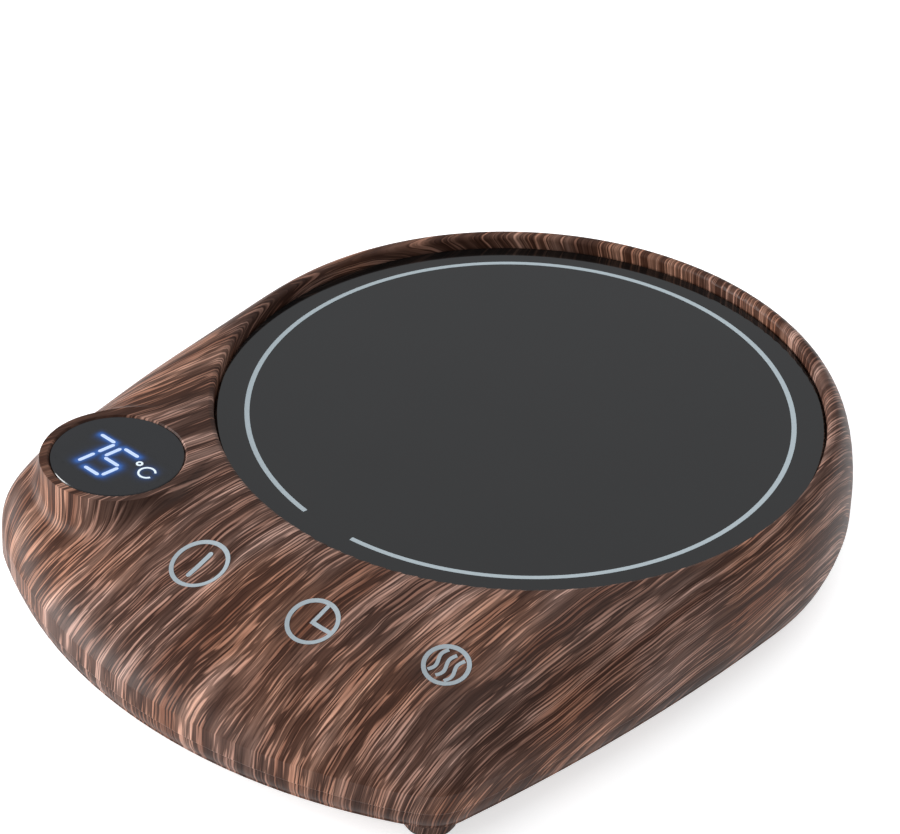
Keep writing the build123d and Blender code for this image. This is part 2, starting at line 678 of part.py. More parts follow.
# ================================================================ hot plate stack
def glass_plate():
    plate = disc(GLASS_R, GLASS_TOP_Z - GLASS_T, GLASS_T)
    return chamfer(plate.edges(), PLATE_BEVEL)


def plate_gasket():
    outer = POCKET_R - GASKET_MARGIN
    ring = disc(outer, LEDGE_Z, GASKET_T)
    return ring - disc(outer - GASKET_WIDTH, LEDGE_Z, GASKET_T)


def heat_spreader():
    plate = disc(SPREADER_R, SPREADER_Z, SPREADER_T)
    return chamfer(plate.edges(), PLATE_BEVEL)


def heater_element():
    """A flat heating film with a tab for its two leads and a hole for the sensor."""
    width, reach = FILM_TAB
    film = disc(FILM_R, FILM_Z, FILM_T)
    film += block((width, 2 * reach, FILM_T), FILM_Z, (0, -FILM_R))
    return film - disc(SENSOR_R + SENSOR_GAP, FILM_Z, FILM_T)


def insulation_pad():
    """A fibre disc under the film, cut away under the tab and round the sensor."""
    width, reach = FILM_TAB
    pad = disc(INSULATION_R, INSULATION_Z, INSULATION_T)
    pad -= block((width + 2 * TAB_GAP, 4 * reach, INSULATION_T), INSULATION_Z, (0, -INSULATION_R))
    return pad - disc(SENSOR_R + SENSOR_GAP, INSULATION_Z, INSULATION_T)


def heater_clamp():
    """A pressed steel spider: a plate with three ears and a raised ring bead."""
    plate = Circle(CLAMP_R) - Circle(SENSOR_LEADS_R)
    for angle in CLAMP_ANGLES:
        ear = Rot(0, 0, angle) * Pos(CLAMP_SCREW_REACH / 2, 0) * Rectangle(CLAMP_SCREW_REACH, CLAMP_EAR_W)
        tip = Rot(0, 0, angle) * Pos(CLAMP_SCREW_REACH, 0) * Circle(CLAMP_EAR_W / 2)
        hole = Rot(0, 0, angle) * Pos(CLAMP_SCREW_REACH, 0) * Circle(BOARD_SCREW_R + SHANK_GAP)
        plate = plate + ear + tip - hole
    solid = extrude(Pos(0, 0, CLAMP_Z) * plate, CLAMP_T)
    bead_r = CLAMP_R - CLAMP_BEAD_INSET
    bead = [(bead_r - CLAMP_BEAD, 0), (bead_r, -CLAMP_BEAD), (bead_r + CLAMP_BEAD, 0)]
    ridge = revolve(Plane.XZ * make_face(Polyline(*bead, close=True)), Axis.Z)
    return solid + Pos(0, 0, CLAMP_Z) * ridge - Pos(0, 0, CLAMP_Z + CLAMP_T) * ridge


def temperature_sensor():
    """A potted probe pressed against the spreader through the film and the pad."""
    probe = disc(SENSOR_R, INSULATION_Z, SPREADER_Z - INSULATION_Z)
    return chamfer(probe.edges().sort_by(Axis.Z)[-1], SENSOR_BEVEL)


def fuse_axis():
    x, y = FUSE_PLACE
    return Pos(x, y, CLAMP_Z - CLOSE - FUSE_R) * Rot(0, 90, 0)


def thermal_fuse():
    can = Cylinder(FUSE_R, FUSE_LENGTH)
    can = chamfer(can.edges().sort_by(Axis.Z)[-1], FUSE_BEVEL)
    return fuse_axis() * (can + Cylinder(FUSE_LEAD_R, FUSE_LENGTH + 2 * FUSE_LEAD_OUT))


def fuse_clip():
    """A saddle that holds the thermal fuse against the clamp plate."""
    x, y = FUSE_PLACE
    inner = FUSE_R + CLOSE
    outer = inner + FUSE_CLIP_T
    drop = CLOSE + FUSE_R
    legs = Pos(0, drop / 2) * Rectangle(2 * outer, drop)
    foot = Pos(0, drop - FUSE_CLIP_T / 2) * Rectangle(2 * (outer + FUSE_CLIP_FOOT), FUSE_CLIP_T)
    opening = Circle(inner) + Pos(0, drop / 2) * Rectangle(2 * inner, drop)
    below = Pos(0, -outer) * Rectangle(2 * outer, 2 * outer)
    saddle = (Circle(outer) & below) + legs + foot - opening
    strap = extrude(Plane.YZ * saddle, FUSE_CLIP_W / 2, both=True)
    return Pos(x, y, CLAMP_Z - drop) * strap


# ================================================================ control board and its parts
def control_board():
    shape = outline(BOARD_INSET)
    ahead = Rectangle(4 * BACK_R, 2 * FRONT_REACH, align=(Align.CENTER, Align.MAX))
    shape &= Pos(0, BOARD_REAR_Y) * ahead
    for x, y in case_screw_places():
        shape -= Pos(x, y) * Circle(BASE_BOSS_R + BOSS_NOTCH_GAP)
    for x, y in board_screw_places():
        shape -= Pos(x, y) * Circle(BOARD_SCREW_R + SHANK_GAP)
    return extrude(Pos(0, 0, BOARD_Z) * shape, BOARD_T)


def touch_spring(angle):
    """A square-wire coil from the board to the underside of the deck."""
    x, y = polar(KEY_REACH, angle)
    outer = polar(KEY_REACH + SPRING_R + SPRING_WIRE / 2, angle)
    roof = deck_height(*outer, COVER_WALL, RIM_Z - COVER_WALL)
    height = roof - CLOSE - BOARD_TOP_Z - SPRING_WIRE
    path = Helix(height / SPRING_TURNS, height, SPRING_R)
    wire = Plane(path @ 0, z_dir=path % 0) * Rectangle(SPRING_WIRE, SPRING_WIRE)
    coil = sweep(wire, path, is_frenet=True)
    return Pos(x, y, BOARD_TOP_Z + SPRING_WIRE / 2) * coil


def relay():
    body = block(RELAY, BOARD_TOP_Z, board_place(RELAY_PLACE))
    return chamfer(body.edges().group_by(Axis.Z)[-1], BOX_BEVEL)


def film_capacitor():
    body = block(FILM_CAPACITOR, BOARD_TOP_Z, board_place(FILM_CAPACITOR_PLACE))
    return fillet(body.edges().filter_by(Axis.Z), FILM_CAPACITOR_EDGE_R)


def smoothing_capacitor():
    """An aluminium can with the crimp near its foot and a scored vent on top."""
    can = chamfer(Cylinder(CAN_R, CAN_H, align=UP).edges().sort_by(Axis.Z)[-1], CAN_BEVEL)
    inner, outer = CAN_R - CAN_CRIMP, CAN_R + CAN_CRIMP
    groove = Polyline((inner, 0), (outer, -2 * CAN_CRIMP), (outer, 2 * CAN_CRIMP), close=True)
    crimp = revolve(Plane.XZ * make_face(groove), Axis.Z)
    score = Pos(0, 0, CAN_H) * Box(*CAN_SCORE, align=DOWN)
    x, y = board_place(CAN_PLACE)
    return Pos(x, y, BOARD_TOP_Z) * (can - Pos(0, 0, CAN_CRIMP_Z) * crimp - score)


def choke():
    """A drum core with its winding between two flanges."""
    flange = Cylinder(CHOKE_R, CHOKE_FLANGE_T, align=UP)
    core = Cylinder(CHOKE_R - CHOKE_WAIST, CHOKE_H, align=UP)
    drum = core + flange + Pos(0, 0, CHOKE_H - CHOKE_FLANGE_T) * flange
    x, y = board_place(CHOKE_PLACE)
    return Pos(x, y, BOARD_TOP_Z) * drum


def mains_fuse():
    body = disc(BOARD_FUSE_R, BOARD_TOP_Z, BOARD_FUSE_H, board_place(BOARD_FUSE_PLACE))
    return chamfer(body.edges().sort_by(Axis.Z)[-1], BOARD_FUSE_BEVEL)


def varistor():
    """A dipped disc standing on its edge."""
    x, y = board_place(VARISTOR_PLACE)
    body = Rot(90, 0, 0) * Cylinder(VARISTOR_R, VARISTOR_T)
    body = chamfer(body.edges(), VARISTOR_BEVEL)
    centre_z = VARISTOR_R + VARISTOR_LIFT
    legs = block((VARISTOR_R, VARISTOR_LEG_T, VARISTOR_R), -centre_z)
    return Pos(x, y, BOARD_TOP_Z + centre_z) * (body + legs)


def buzzer():
    place = board_place(BUZZER_PLACE)
    body = disc(BUZZER_R, BOARD_TOP_Z, BUZZER_H, place)
    body = chamfer(body.edges().sort_by(Axis.Z)[-1], BUZZER_BEVEL)
    return body - disc(BUZZER_HOLE_R, BOARD_TOP_Z + BUZZER_H - BUZZER_HOLE_DEPTH, BUZZER_H, place)


def controller_chip():
    """A small package with a row of legs down each long side."""
    length, width, height = CHIP
    leg_w, leg_out, leg_t = CHIP_LEG
    x0, y0 = board_place(CHIP_PLACE)
    body = block((length, width, height - CHIP_LIFT), BOARD_TOP_Z + CHIP_LIFT, (x0, y0))
    for i in range(CHIP_LEGS):
        x = x0 + (i - (CHIP_LEGS - 1) / 2) * length / CHIP_LEGS
        body += block((leg_w, width + 2 * leg_out, leg_t), BOARD_TOP_Z, (x, y0))
    return body


def terminal_block():
    """A row of lead-in holes towards the heater with a screw well over each."""
    length, width, height = TERMINALS
    well_r, well_depth = TERMINAL_WELL
    x0, y0 = board_place(TERMINALS_PLACE)
    body = block(TERMINALS, BOARD_TOP_Z, (x0, y0))
    body = chamfer(body.edges().group_by(Axis.Z)[-1], BOX_BEVEL)
    cuts = []
    for i in range(TERMINAL_WAYS):
        x = x0 + (i - (TERMINAL_WAYS - 1) / 2) * length / TERMINAL_WAYS
        cuts.append(disc(well_r, BOARD_TOP_Z + height - well_depth, height, (x, y0)))
        cuts.append(block(TERMINAL_MOUTH, BOARD_TOP_Z + TERMINAL_MOUTH_Z, (x, y0 + width / 2)))
    return body - cuts


def display_module():
    """The lit number block just under the lens."""
    top_z = LENS_Z - DISPLAY_UNDER_LENS
    return block(DISPLAY, top_z - DISPLAY[2], pod_place())


def display_stand():
    """A square tube that holds the number block up at the lens."""
    low_z = BOARD_TOP_Z
    height = LENS_Z - DISPLAY_UNDER_LENS - DISPLAY[2] - low_z
    outer = block((DISPLAY[0], DISPLAY[1], height), low_z, pod_place())
    inner_size = (DISPLAY[0] - 2 * STAND_WALL, DISPLAY[1] - 2 * STAND_WALL, height)
    return outer - block(inner_size, low_z, pod_place())


def display_lens():
    lens = disc(LENS_R, LENS_Z, LENS_T, pod_place())
    return chamfer(lens.edges().sort_by(Axis.Z)[-1], LENS_BEVEL)


# ================================================================ export
def sub_parts():
    parts = {
        "top_cover": top_cover(),
        "base_shell": base_shell(),
        "glass_plate": glass_plate(),
        "plate_gasket": plate_gasket(),
        "heat_spreader": heat_spreader(),
        "heater_element": heater_element(),
        "insulation_pad": insulation_pad(),
        "heater_clamp": heater_clamp(),
        "clamp_screws": clamp_screws(),
        "temperature_sensor": temperature_sensor(),
        "thermal_fuse": thermal_fuse(),
        "fuse_clip": fuse_clip(),
        "control_board": control_board(),
        "board_screws": board_screws(),
        "relay": relay(),
        "film_capacitor": film_capacitor(),
        "smoothing_capacitor": smoothing_capacitor(),
        "choke": choke(),
        "mains_fuse": mains_fuse(),
        "varistor": varistor(),
        "buzzer": buzzer(),
        "controller_chip": controller_chip(),
        "terminal_block": terminal_block(),
        "display_module": display_module(),
        "display_stand": display_stand(),
        "display_lens": display_lens(),
        "cord_grommet": cord_grommet(),
        "case_screws": case_screws(),
    }
    for name, angle in KEY_ANGLES.items():
        parts["touch_spring_" + name] = touch_spring(angle)
    for name, place in foot_places().items():
        parts["foot_pad_" + name] = foot_pad(place)
    return parts


def main():
    os.makedirs("parts", exist_ok=True)
    for node, shape in sub_parts().items():
        if isinstance(shape, list):
            shape = Compound(children=shape)
        export_step(Pos(0, PLATE_Y, 0) * shape, f"parts/{node}.step")


main()
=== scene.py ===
"""Electric mug warmer: finishes, printed marks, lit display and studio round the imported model."""
from collections import namedtuple
from math import cos, exp, pi, radians, sin

import bmesh
import bpy
from mathutils import Matrix, Vector


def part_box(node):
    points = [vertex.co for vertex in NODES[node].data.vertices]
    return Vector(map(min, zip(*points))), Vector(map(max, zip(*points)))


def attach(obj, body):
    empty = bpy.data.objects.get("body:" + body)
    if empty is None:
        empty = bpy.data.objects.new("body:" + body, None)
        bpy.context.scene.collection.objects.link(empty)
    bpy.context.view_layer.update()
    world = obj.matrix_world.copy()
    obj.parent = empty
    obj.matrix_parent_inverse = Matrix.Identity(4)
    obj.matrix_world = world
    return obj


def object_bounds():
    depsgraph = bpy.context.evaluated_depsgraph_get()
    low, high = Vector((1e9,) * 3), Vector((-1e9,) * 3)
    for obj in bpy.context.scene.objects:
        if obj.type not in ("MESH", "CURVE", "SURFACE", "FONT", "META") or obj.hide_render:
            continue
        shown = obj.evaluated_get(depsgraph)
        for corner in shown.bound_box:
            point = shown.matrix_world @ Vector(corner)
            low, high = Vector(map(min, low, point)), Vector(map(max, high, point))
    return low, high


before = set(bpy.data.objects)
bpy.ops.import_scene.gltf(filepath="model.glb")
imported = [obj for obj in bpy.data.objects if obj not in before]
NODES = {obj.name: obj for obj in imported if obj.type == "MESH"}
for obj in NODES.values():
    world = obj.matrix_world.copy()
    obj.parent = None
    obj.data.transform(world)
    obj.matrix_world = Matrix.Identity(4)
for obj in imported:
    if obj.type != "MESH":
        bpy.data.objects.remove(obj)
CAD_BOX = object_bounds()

MM = 0.001

# ---------------------------------------------------------------- places read from the frame
PLATE_LOW, PLATE_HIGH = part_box("glass_plate")
PLATE_CENTRE = (PLATE_LOW + PLATE_HIGH) / 2
LENS_LOW, LENS_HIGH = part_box("display_lens")
LENS_CENTRE = (LENS_LOW + LENS_HIGH) / 2

# ---------------------------------------------------------------- wood grain, in millimetres
GRAIN_LEAN = 0.076              # how far the grain runs to the right for each step to the rear
GRAIN_FAN = 0.0028              # and how much less it leans for each millimetre to the right
GRAIN_BEND = 12.0               # how far the grain bends over the whole housing
GRAIN_WAVER = 2.0               # and how far it wavers over a few millimetres
FOLD_X = 55.0                   # the film goes down the side walls this far from the middle
FOLD_Y = 75.0                   # and down the front and the back this far
PORE_PITCH = 0.62
PORE_WIDTH = 0.27               # share of the pitch
WOOD_TONES = (                  # from the dark bands to the light ones
    (0.38, (0.125, 0.056, 0.037)),
    (0.46, (0.195, 0.101, 0.073)),
    (0.54, (0.275, 0.154, 0.117)),
    (0.62, (0.375, 0.229, 0.183)),
)
HAIR_SHADES = ((0.34, 0.38), (0.48, 1.0), (0.66, 1.42))     # fine streaks, darker and lighter
LINE_TONE = (0.026, 0.010, 0.006)
WARM_TINT = (1.22, 0.98, 0.74)

# ---------------------------------------------------------------- printed marks
PRINT_T = 0.05 * MM             # thickness of an ink film
PRINT_FROM = 0.01               # the marks are dropped from this far above the model
JOIN_DISTANCE = 1e-7            # points closer than this are one point
PLATE_RING_R = 47.9 * MM
PLATE_RING_LINE = 0.88 * MM
PLATE_RING_STEP = 1.2 * MM
PLATE_RING_GAP = (-8.0, 5.0)    # degrees from the front, where the ring is open
KEY_REACH = 70.7 * MM           # from the middle of the plate to the keys
MARK_LINE = 0.76 * MM
MARK_STEP = 0.3 * MM            # length of one piece of a printed line
POWER_BAR = 6.0 * MM
POWER_BAR_WIDTH = 1.15          # this and the next two are shares of the ring's line
HAND_WIDTH = 0.95
WAVE_WIDTH = 0.86
BAR_TIP = 0.5                   # width of the power bar's very end, as a share
CLOCK_CORNER = (-0.4, 0.3)      # ends of the strip in the clock's corner, in shares of the line
WAVE_LENGTH = 5.1 * MM
WAVE_SWING = 0.42 * MM
WAVE_PITCH = 1.75 * MM
WAVE_PARTS = 20

# a key's mark: degrees from the front, radius of its ring, and shift from the key in millimetres
Key = namedtuple("Key", "angle radius shift")
KEYS = {
    "power": Key(-7.7, 4.71 * MM, (-0.1, 0.4)),
    "timer": Key(12.1, 4.17 * MM, (-0.1, 1.15)),
    "heat": Key(31.9, 3.70 * MM, (0.2, -0.8)),
}

# ---------------------------------------------------------------- display
READING = "75"
LIT_BARS = {"7": "abc", "5": "afgcd"}
DIGIT_W = 4.27 * MM             # between the middles of the upright bars
DIGIT_H = 8.29 * MM
DIGIT_PITCH = 5.94 * MM
DIGIT_FIRST = Vector((-5.26, -1.9)) * MM   # middle of the first digit, from the lens's middle
DIGIT_LEAN = 0.12
DIGIT_TURN = -1.53              # degrees
BAR_T = 0.68 * MM
BAR_GAP = 0.4 * MM              # from a corner to the end of a bar
BAR_POINT = 0.45                # width of a bar's very end, as a share
DEGREE_AT = Vector((4.41, 1.13)) * MM
DEGREE_R = 0.48 * MM
UNIT_AT = Vector((7.22, 0.22)) * MM
UNIT_R = 1.45 * MM
UNIT_ARC = (38, 338)            # degrees; the letter is open at the right
UNIT_STEP = 0.15 * MM
UNIT_LINE = 0.36 * MM
GLOW_T = 0.01 * MM              # thickness of the clear film that carries the display's glow
GLOW_REACH = 0.42 * MM          # the light round a lit bar fades by this much
GLOW_CELL = 0.2 * MM
GLOW_MARGIN = 1.6 * MM          # of film round the lit bars
GLOW_EDGE = 1.5                 # how quickly the glow starts from the film's edge
UNIT_GLOW = 0.25                # light round the letter, as a share of that round the bars
GLOW_STRENGTH = 0.6

# ---------------------------------------------------------------- studio, in metres and watts
FLOOR_REACH = 3.0               # from the middle to each side
FLOOR_LIGHT = 0.60
LIGHTS = (                      # name, place, size and power
    ("key_light", (-1.0, -0.85, 0.38), (0.9, 0.7), 29.0),
    ("top_light", (0.1, 0.35, 1.1), (1.0, 1.0), 4.0),
    ("fill_light", (0.9, -0.6, 0.5), (0.8, 0.8), 0.3),
)
SKY_TONE = (0.95, 0.97, 1.0, 1.0)
SKY_LIGHT = 0.55

# ---------------------------------------------------------------- camera
CAMERA_AZIMUTH = 41.06          # degrees from the front towards the right
CAMERA_ELEVATION = 35.03
CAMERA_ROLL = 1.84
CAMERA_DISTANCE = 670.6 * MM
CAMERA_LENS = 153.5
CAMERA_SENSOR = 36.0            # width, in millimetres like the lens
CAMERA_NEAR, CAMERA_FAR = 0.01, 20.0
CAMERA_AIM = Vector((-7.7, -9.93, 1.25)) * MM + PLATE_CENTRE


# ================================================================ materials
def add_node(tree, kind, inputs, settings):
    """A node with its settings, and its inputs by name or number, given a value or a socket."""
    node = tree.nodes.new(kind)
    for name, value in settings.items():
        setattr(node, name, value)
    for key, value in dict(inputs).items():
        if isinstance(value, bpy.types.NodeSocket):
            tree.links.new(value, node.inputs[key])
        else:
            node.inputs[key].default_value = value
    return node


class Shader:
    """Adds and joins the nodes of one material."""

    def __init__(self, name):
        self.material = bpy.data.materials.new(name)
        self.material.use_nodes = True
        self.tree = self.material.node_tree
        self.tree.nodes.clear()
        self.output = self.tree.nodes.new("ShaderNodeOutputMaterial")

    def add(self, kind, inputs=(), **settings):
        return add_node(self.tree, "ShaderNode" + kind, inputs, settings)

    def math(self, operation, *values, clamp=False):
        node = self.add("Math", enumerate(values), operation=operation, use_clamp=clamp)
        return node.outputs[0]

    def place(self):
        """Object coordinates in millimetres."""
        coordinates = self.add("TexCoord").outputs["Object"]
        scaled = self.add("VectorMath", {0: coordinates, 3: 1 / MM}, operation="SCALE")
        return scaled.outputs[0]

    def noise(self, place, scale, detail, rough=0.5, stretch=(1, 1, 1), shift=(0, 0, 0)):
        """Noise from 0 to 1 whose size along each axis is set by stretch."""
        mapped = self.add("Mapping", {"Vector": place, "Scale": stretch, "Location": shift})
        inputs = {"Vector": mapped.outputs[0], "Scale": scale, "Detail": detail, "Roughness": rough}
        return self.add("TexNoise", inputs).outputs["Fac"]

    def ramp(self, factor, *stops):
        """A ramp with (position, colour) stops; a plain number stands for a grey."""
        node = self.add("ValToRGB", {"Fac": factor})
        elements = node.color_ramp.elements
        while len(elements) < len(stops):
            elements.new(0.5)
        for element, (position, colour) in zip(elements, stops):
            tone = colour if isinstance(colour, tuple) else (colour, colour, colour)
            element.position = position
            element.color = (*tone, 1.0)
        return node.outputs["Color"]

    def mix(self, factor, first, second, blend="MIX"):
        node = self.add("Mix", data_type="RGBA", blend_type=blend)
        sockets = {s.identifier: s for s in node.inputs}
        for key, value in (("Factor_Float", factor), ("A_Color", first), ("B_Color", second)):
            if isinstance(value, bpy.types.NodeSocket):
                self.tree.links.new(value, sockets[key])
            elif isinstance(value, tuple):
                sockets[key].default_value = (*value, 1.0)
            else:
                sockets[key].default_value = value
        return next(s for s in node.outputs if s.identifier == "Result_Color")

    def bump(self, height, distance):
        return self.add("Bump", {"Height": height, "Distance": distance}).outputs[0]

    def finish(self, inputs):
        """Ends the material in one Principled shader."""
        surface = self.add("BsdfPrincipled", inputs)
        self.tree.links.new(surface.outputs[0], self.output.inputs["Surface"])
        return self.material


def speckled(name, dark, light, rough, grain=0.02):
    """A moulded or cast finish: two close tones, uneven gloss and a fine grain."""
    s = Shader(name)
    place = s.place()
    cloud = s.noise(place, 0.8, 3.0)
    fine = s.noise(place, 7.2, 2.0)
    return s.finish({
        "Base Color": s.mix(s.ramp(cloud, (0.3, 0.0), (0.7, 1.0)), dark, light),
        "Roughness": s.math("MULTIPLY_ADD", fine, 0.16, rough - 0.08),
        "Normal": s.bump(fine, grain * MM),
    })


def brushed(name, tone, rough, direction=(0.15, 4.0, 4.0)):
    """Sheet or turned metal with fine parallel marks."""
    s = Shader(name)
    place = s.place()
    lines = s.noise(place, 1.2, 3.0, 0.6, direction)
    light = tuple(min(c * 1.15, 1.0) for c in tone)
    dark = tuple(c * 0.8 for c in tone)
    return s.finish({
        "Base Color": s.mix(lines, dark, light),
        "Roughness": s.math("MULTIPLY_ADD", lines, 0.22, rough - 0.1),
        "Metallic": 1.0,
        "Normal": s.bump(lines, 0.01 * MM),
    })


# ================================================================ walnut print
def wrapped(s, axis, drop, reach):
    """A flat coordinate that goes on down the walls, where the film is folded over the edge."""
    cube = s.math("MULTIPLY", s.math("MULTIPLY", axis, axis), axis)
    return s.math("MULTIPLY_ADD", s.math("MULTIPLY", cube, drop), 1 / reach**3, axis)


def threads(s, grain, stretch, shift, width):
    """Thin lines that run with the grain: 1 on a line and 0 between."""
    height = 2.6
    cloud = s.noise(grain, 1.0, 1.5, 0.5, stretch, shift)
    off = s.math("ABSOLUTE", s.math("SUBTRACT", cloud, 0.5))
    return s.math("MULTIPLY_ADD", off, -height / width, height, clamp=True)


def pores(s, across, grain, shift):
    """Nearly parallel dark lines a pitch apart, broken up along their length."""
    height = 2.0
    wobble = s.noise(grain, 1.0, 1.0, 0.5, (0.30, 0.022, 1), shift)
    phase = s.math("MULTIPLY_ADD", wobble, 3.0, s.math("DIVIDE", across, PORE_PITCH))
    off = s.math("ABSOLUTE", s.math("SUBTRACT", s.math("FRACT", phase), 0.5))
    line = s.math("MULTIPLY_ADD", off, -height / PORE_WIDTH, height, clamp=True)
    broken = s.noise(grain, 1.0, 2.0, 0.5, (1.3, 0.09, 1), shift)
    return s.math("MULTIPLY", line, s.math("MULTIPLY_ADD", broken, 6.0, -2.1, clamp=True))


def walnut(name, painted_shade):
    """Walnut-grain film, laid on from above, so its lines run roughly from front to back."""
    s = Shader(name)
    place = s.place()
    axes = s.add("SeparateXYZ", {0: place})
    drop = s.math("SUBTRACT", CAD_BOX[1].z / MM, axes.outputs["Z"])
    wide = wrapped(s, axes.outputs["X"], drop, FOLD_X)
    deep = wrapped(s, axes.outputs["Y"], drop, FOLD_Y)
    lean = s.math("MULTIPLY_ADD", wide, GRAIN_FAN, -GRAIN_LEAN)
    across = s.math("MULTIPLY_ADD", deep, lean, wide)
    bend = s.noise(place, 0.018, 1.0, 0.5, (1.0, 0.8, 0.3), (3.1, 7.7, 0))
    waver = s.noise(place, 0.09, 2.0, 0.5, (1.0, 0.6, 0.5), (9.4, 1.2, 0))
    across = s.math("MULTIPLY_ADD", bend, GRAIN_BEND, across)
    across = s.math("MULTIPLY_ADD", waver, GRAIN_WAVER, across)
    grain = s.add("CombineXYZ", {0: across, 1: deep}).outputs[0]

    # every noise along the grain is stretched from front to back
    bands = s.noise(grain, 1.0, 2.0, 0.5, (0.11, 0.010, 1), (2.0, 0, 0))
    tone = s.noise(grain, 1.0, 3.0, 0.55, (0.40, 0.020, 1), (0, 5.0, 0))
    hairs = s.noise(grain, 1.0, 2.0, 0.6, (2.7, 0.095, 1), (0, 0, 8.0))
    broad = threads(s, grain, (0.42, 0.018, 1), (4.0, 0, 3.0), 0.040)
    narrow = threads(s, grain, (0.90, 0.040, 1), (1.0, 3.0, 6.0), 0.070)
    fine = pores(s, across, grain, (7.0, 1.0, 2.0))

    base = s.math("MULTIPLY_ADD", bands, 0.30, s.math("MULTIPLY", tone, 0.70))
    wood = s.ramp(base, *WOOD_TONES)
    wood = s.mix(1.0, wood, s.ramp(hairs, *HAIR_SHADES), "MULTIPLY")
    # the lines are strongest in the dark bands
    weight = s.math("MULTIPLY_ADD", tone, -1.3, 1.60, clamp=True)
    lines = s.math("MAXIMUM", s.math("MULTIPLY", broad, 0.85), s.math("MULTIPLY", narrow, 0.90))
    lines = s.math("MAXIMUM", lines, fine)
    lines = s.math("MULTIPLY", lines, weight, clamp=True)
    wood = s.mix(lines, wood, LINE_TONE)
    # parts of the film lean to orange
    hue = s.noise(place, 0.04, 2.0, 0.5, (1, 0.6, 1), (5.0, 2.0, 0))
    warm = s.mix(1.0, wood, WARM_TINT, "MULTIPLY")
    wood = s.mix(s.ramp(hue, (0.50, 0.0), (0.62, 0.6)), wood, warm)
    # painted shade: the film's colour is multiplied by this factor, to darken a part that sits in
    # shadow
    wood = s.mix(1.0, wood, painted_shade, "MULTIPLY")
    return s.finish({
        "Base Color": wood,
        "Roughness": s.math("MULTIPLY_ADD", hairs, 0.16, 0.36),
        "Normal": s.bump(s.math("SUBTRACT", hairs, lines), 0.012 * MM),
        "Specular IOR Level": 0.12,
    })


# ================================================================ other outside finishes
def dark_glass(name, tones, smears, rough, uneven, bending):
    """Nearly black glass; the smears change its tone and make its gloss uneven."""
    s = Shader(name)
    smear = s.noise(s.place(), *smears)
    return s.finish({
        "Base Color": s.mix(smear, *tones),
        "Roughness": s.math("MULTIPLY_ADD", smear, uneven, rough),
        "IOR": bending,
    })


def black_glass():
    tones = (0.002, 0.002, 0.002), (0.004, 0.004, 0.004)
    return dark_glass("Black plate glass", tones, (0.05, 3.0), 0.03, 0.05, 1.62)


def smoked_lens():
    tones = (0.0015, 0.0020, 0.0032), (0.0025, 0.0030, 0.0045)
    return dark_glass("Smoked display lens", tones, (0.2, 2.0), 0.12, 0.06, 1.58)


def bar_glow():
    """The blue light that the lit bars throw into the lens, strongest close to them."""
    s = Shader("Light round the bars")
    uneven = s.noise(s.place(), 1.5, 2.0)
    glow = s.add("Attribute", attribute_name="glow").outputs["Fac"]
    return s.finish({
        "Base Color": (0.0, 0.0, 0.0, 1.0),
        "Specular IOR Level": 0.0,
        "Roughness": 0.5,
        "Emission Color": s.mix(uneven, (0.055, 0.150, 0.480), (0.075, 0.190, 0.560)),
        "Emission Strength": 1.0,
        "Alpha": s.math("MULTIPLY", glow, GLOW_STRENGTH),
    })


def lit(name, colour):
    """A bar or letter that shines by itself, a little unevenly."""
    s = Shader(name)
    uneven = s.noise(s.place(), 2.0, 2.0)
    return s.finish({
        "Base Color": (0.05, 0.06, 0.08, 1.0),
        "Roughness": 0.3,
        "Emission Color": s.mix(uneven, tuple(c * 0.92 for c in colour), colour),
        "Emission Strength": 1.0,
    })


def ink(name, dark, light):
    """Silk-screened ink: nearly even, with a slightly broken gloss."""
    s = Shader(name)
    cloud = s.noise(s.place(), 1.4, 3.0)
    return s.finish({
        "Base Color": s.mix(cloud, dark, light),
        "Roughness": s.math("MULTIPLY_ADD", cloud, 0.2, 0.4),
        "Normal": s.bump(cloud, 0.004 * MM),
    })


# ================================================================ inside finishes
def circuit_laminate():
    """Green laminate with paler copper tracks under the lacquer."""
    s = Shader("Board laminate")
    grid = s.add("Mapping", {"Vector": s.place(), "Scale": (0.45, 0.45, 0.0)}).outputs[0]
    inputs = {"Vector": grid, "Randomness": 0.6}
    cells = s.add("TexVoronoi", inputs, distance="CHEBYCHEV", feature="F1")
    tracks = s.ramp(cells.outputs["Distance"], (0.40, 0.0), (0.43, 1.0))
    return s.finish({
        "Base Color": s.mix(tracks, (0.006, 0.050, 0.020), (0.014, 0.105, 0.040)),
        "Roughness": 0.35,
        "Normal": s.bump(tracks, 0.03 * MM),
    })


def fibre_felt():
    """Off-white felt of long loose strands."""
    s = Shader("Fibre felt")
    strands = s.noise(s.place(), 1.6, 5.0, 0.75, (1.0, 0.3, 1.0))
    return s.finish({
        "Base Color": s.mix(strands, (0.55, 0.53, 0.48), (0.82, 0.80, 0.74)),
        "Roughness": 0.9,
        "Normal": s.bump(strands, 0.2 * MM),
    })


def heating_film():
    """Amber film with the darker winding of its etched track."""
    s = Shader("Heating film")
    inputs = {"Vector": s.place(), "Scale": 0.09, "Distortion": 0.6}
    bands = s.add("TexWave", inputs, wave_type="RINGS")
    track = s.ramp(bands.outputs["Fac"], (0.45, 0.0), (0.55, 1.0))
    return s.finish({
        "Base Color": s.mix(track, (0.34, 0.13, 0.02), (0.55, 0.27, 0.06)),
        "Roughness": 0.25,
        "Normal": s.bump(track, 0.03 * MM),
    })


